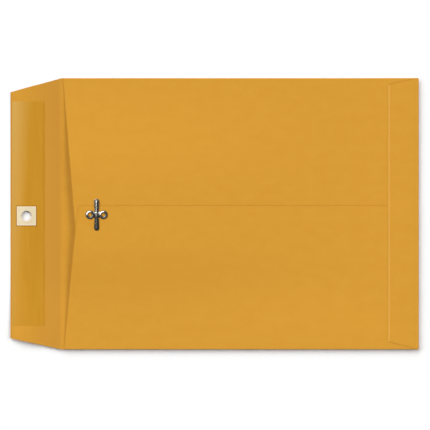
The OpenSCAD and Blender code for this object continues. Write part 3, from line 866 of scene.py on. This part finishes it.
clasp_base = forged("clasp_bridge", bridge_mesh)

pair = bpy.data.node_groups.new("eyelet_pair", "GeometryNodeTree")
pair.interface.new_socket("Geometry", in_out="INPUT", socket_type="NodeSocketGeometry")
pair_ids = {}
for label, kind in (
    ("Eyelet", "NodeSocketObject"), ("First", "NodeSocketVector"), ("Second", "NodeSocketVector"),
    ("Material", "NodeSocketMaterial"),
):
    pair_ids[label] = pair.interface.new_socket(label, in_out="INPUT", socket_type=kind).identifier
pair.interface.new_socket("Geometry", in_out="OUTPUT", socket_type="NodeSocketGeometry")
given = add(pair, "NodeGroupInput").outputs
spots = add(pair, "GeometryNodeMeshLine", {
    "Count": 2, "Start Location": given["First"], "Offset": given["Second"],
}, mode="END_POINTS").outputs[0]
ring = add(pair, "GeometryNodeObjectInfo", {"Object": given["Eyelet"]}).outputs["Geometry"]
rings = add(pair, "GeometryNodeInstanceOnPoints", {"Points": spots, "Instance": ring}).outputs[0]
joined = add(pair, "GeometryNodeJoinGeometry")
pair.links.new(given["Geometry"], joined.inputs[0])
pair.links.new(rings, joined.inputs[0])
solid = add(pair, "GeometryNodeRealizeInstances", {"Geometry": joined.outputs[0]}).outputs[0]
coated = add(pair, "GeometryNodeSetMaterial", {
    "Geometry": solid, "Material": given["Material"],
}).outputs[0]
add(pair, "NodeGroupOutput", {"Geometry": coated})
rivets = clasp_base.modifiers.new("eyelets", "NODES")
rivets.node_group = pair
rivets[pair_ids["Eyelet"]] = eyelet
rivets[pair_ids["First"]] = (-EYELET_REACH * MM, 0, 0)
rivets[pair_ids["Second"]] = (EYELET_REACH * MM, 0, 0)
rivets[pair_ids["Material"]] = tinplate
bake(clasp_base, SHARP_BEND)
bpy.data.objects.remove(eyelet)
mark_lit_faces(clasp_base)
clasp_base.data.transform(Matrix.Translation(Vector((CLASP_X, CLASP_Y, SEAT_Z)) * MM))
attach(clasp_base, "envelope")
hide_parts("clasp_base")

# Prongs: two tongues of the same tinplate, stiffened by a rib pressed along their middle and round at
# the tip. Each is rolled round a bend at the saddle, so that it can be raised through the flap's hole
# and pressed flat again, and drops over a small shoulder beside it.
BEND_REACH = 1.2
BEND_Z = 0.79
BEND_RADIUS = 0.45
ROLL_START = 285
ROLL_END = 95
PRONG_LENGTH = 12.9
ROOT_HALF = 1.75
TIP_HALF = 2.25
TIP_START = PRONG_LENGTH - TIP_HALF
TIP_FALL = 0.05
TIP_THIN = 0.35
INNER_SHARE = 0.97
RIB_FADE = 9.9
RIB_GONE = 11.5
BOW_START = 5.0
TIP_BOW = 0.06
PRONG_PITCH = 0.025
SHOULDER_FALL = 0.12
SHOULDER_END = 1.3


def prong(name, hand, body, node):
    """One prong, lying flat, from the roll at its root to its round tip."""
    path = []
    for angle in np.radians(np.linspace(ROLL_START, ROLL_END, 13)):
        out_s, out_z = math.cos(angle), math.sin(angle)
        path.append((BEND_RADIUS * out_s, BEND_Z + BEND_RADIUS * out_z, out_s, out_z, 1.0))
    for s in stations(0, 0.1, SHOULDER_END, 0.8, TIP_START, 0.15, PRONG_LENGTH - 0.3, 0.05, PRONG_LENGTH):
        past = max(0.0, s - TIP_START) / TIP_HALF
        round_off = math.sqrt(max(0.0, 1 - past ** 2))
        bow = TIP_BOW * (max(0.0, s - BOW_START) / (PRONG_LENGTH - BOW_START)) ** 2
        shoulder = SHOULDER_FALL * float(ease(0, SHOULDER_END, s))
        fall = shoulder + PRONG_PITCH * s + bow + TIP_FALL * past ** 2
        path.append((s, PRONG_TOP - fall, 0.0, 1.0, round_off))
    across = np.linspace(1, -1, 49)
    mesh = bmesh.new()
    loops = []
    for s, z, out_s, out_z, round_off in path:
        share = min(1, max(0, s) / TIP_START)
        half = (ROOT_HALF + (TIP_HALF - ROOT_HALF) * share) * round_off
        thin = TIN * (TIP_THIN + (1 - TIP_THIN) * round_off)
        rib = 1 - ease(RIB_FADE, RIB_GONE, s)
        outer = [(k * half, rib_drop(k * half, rib)) for k in across]
        inner = [(k * half * INNER_SHARE, rib_drop(k * half, rib) + thin) for k in across[::-1]]
        loops.append([
            (CLASP_X + x, CLASP_Y + hand * (BEND_REACH + s - deep * out_s), SEAT_Z + z - deep * out_z)
            for x, deep in outer + inner
        ])
    skin(mesh, loops)
    piece = forged(name, mesh)
    piece.data.materials.append(tinplate)
    piece.data.shade_smooth()
    piece.data.set_sharp_from_angle(angle=math.radians(SHARP_BEND))
    mark_lit_faces(piece)
    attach(piece, body)
    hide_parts(node)


prong("prong_upper", 1, "prong_up", "upper_prong")
prong("prong_lower", -1, "prong_down", "lower_prong")

# Table: a plain white surface that the envelope lies on, wide enough to fill every view. It is matt,
# so that it shows the envelope's soft shadow and nothing else.
TABLE_HALF = 15.0
table_material, tree = bare_material("white_table")
table_shader = add(tree, "ShaderNodeBsdfDiffuse", {"Color": (1.0, 1.0, 1.0, 1.0)}).outputs[0]
add(tree, "ShaderNodeOutputMaterial", {"Surface": table_shader})
table_mesh = bpy.data.meshes.new("table")
table_corners = [(TABLE_HALF * x, TABLE_HALF * y, 0) for x, y in ((-1, -1), (1, -1), (1, 1), (-1, 1))]
table_mesh.from_pydata(table_corners, [], [(0, 1, 2, 3)])
table_mesh.materials.append(table_material)
table = bpy.data.objects.new("table", table_mesh)
bpy.context.scene.collection.objects.link(table)

# Camera: straight above, with the top of the picture towards the upper side panel. It stands far off
# behind a long lens, so that the envelope's edges show no slant.
SENSOR = 36.0
VIEW_WIDTH = 382.7
VIEW_HEIGHT = 2600.0
VIEW_X = -22.35
VIEW_Y = -1.12
camera_data = bpy.data.cameras.new("camera")
camera_data.sensor_width = SENSOR
camera_data.lens = SENSOR * VIEW_HEIGHT / VIEW_WIDTH
camera = bpy.data.objects.new("camera", camera_data)
camera.location = Vector((VIEW_X, VIEW_Y, VIEW_HEIGHT)) * MM
bpy.context.scene.collection.objects.link(camera)
bpy.context.scene.camera = camera

# Light: three lamps, from above, left and right in the picture, light the paper at a plain level of 1
# under a dim dome that is darkest overhead. What the metal mirrors is set apart from them: a softbox at
# the upper left, and pale walls low down all round, which the camera sees as a white background.
# Heights are the upward share of a direction, 0 at the horizon and 1 overhead.
DOME_SIDE_HEIGHT = 0.7
DOME_SIDE_LEVEL = 0.1
DOME_TOP_HEIGHT = 0.96
DOME_TOP_LEVEL = 0.025
WALL_FADE_HEIGHT = 0.5
WALL_TOP_HEIGHT = 0.67
world = bpy.data.worlds.new("studio")
bpy.context.scene.world = world
world.use_nodes = True
tree = world.node_tree
tree.nodes.clear()
toward = add(tree, "ShaderNodeTexCoord").outputs["Generated"]
up = add(tree, "ShaderNodeSeparateXYZ", {0: toward}).outputs["Z"]
dome = add(tree, "ShaderNodeMapRange", {
    "Value": up, "From Min": DOME_SIDE_HEIGHT, "From Max": DOME_TOP_HEIGHT,
    "To Min": DOME_SIDE_LEVEL, "To Max": DOME_TOP_LEVEL,
}, interpolation_type="SMOOTHSTEP").outputs[0]
ray = add(tree, "ShaderNodeLightPath").outputs
mirrored = add(tree, "ShaderNodeMath", {
    0: ray["Is Glossy Ray"], 1: ray["Is Transmission Ray"],
}, operation="ADD").outputs[0]
low = add(tree, "ShaderNodeMapRange", {
    "Value": up, "From Min": WALL_FADE_HEIGHT, "From Max": WALL_TOP_HEIGHT,
    "To Min": 1.0, "To Max": 0.0,
}, interpolation_type="SMOOTHSTEP").outputs[0]
wall = add(tree, "ShaderNodeMath", {0: mirrored, 1: low}, operation="MULTIPLY").outputs[0]
seen = add(tree, "ShaderNodeMath", {0: ray["Is Camera Ray"], 1: wall}, operation="MAXIMUM").outputs[0]
level = add(tree, "ShaderNodeMix", {
    "Factor": seen, "A": dome, "B": 1.0,
}, data_type="FLOAT").outputs[0]
sky = add(tree, "ShaderNodeBackground", {"Color": (1.0, 1.0, 1.0, 1.0), "Strength": level}).outputs[0]
add(tree, "ShaderNodeOutputWorld", {"Surface": sky})
# Each lamp has its share of the level, its bearing, elevation and width in degrees, and whether it is
# mirrored in the metal, as the softbox is, or lights the paper, as the others do.
for lamp_name, share, bearing, elevation, width, in_metal in (
    ("upper_lamp", 0.345, 104, 34, 38, False),
    ("left_lamp", 0.27, 160, 32, 38, False),
    ("right_lamp", 0.325, 10, 43, 38, False),
    ("softbox", 0.54, 131, 45, 64, True),
):
    lamp_data = bpy.data.lights.new(lamp_name, "SUN")
    lamp_data.energy = share * math.pi / math.sin(math.radians(elevation))
    lamp_data.angle = math.radians(width)
    lamp = bpy.data.objects.new(lamp_name, lamp_data)
    lamp.rotation_euler = (0, math.radians(90 - elevation), math.radians(bearing))
    lamp.visible_glossy = in_metal
    lamp.visible_diffuse = not in_metal
    bpy.context.scene.collection.objects.link(lamp)

bpy.context.scene.view_settings.view_transform = "Standard"
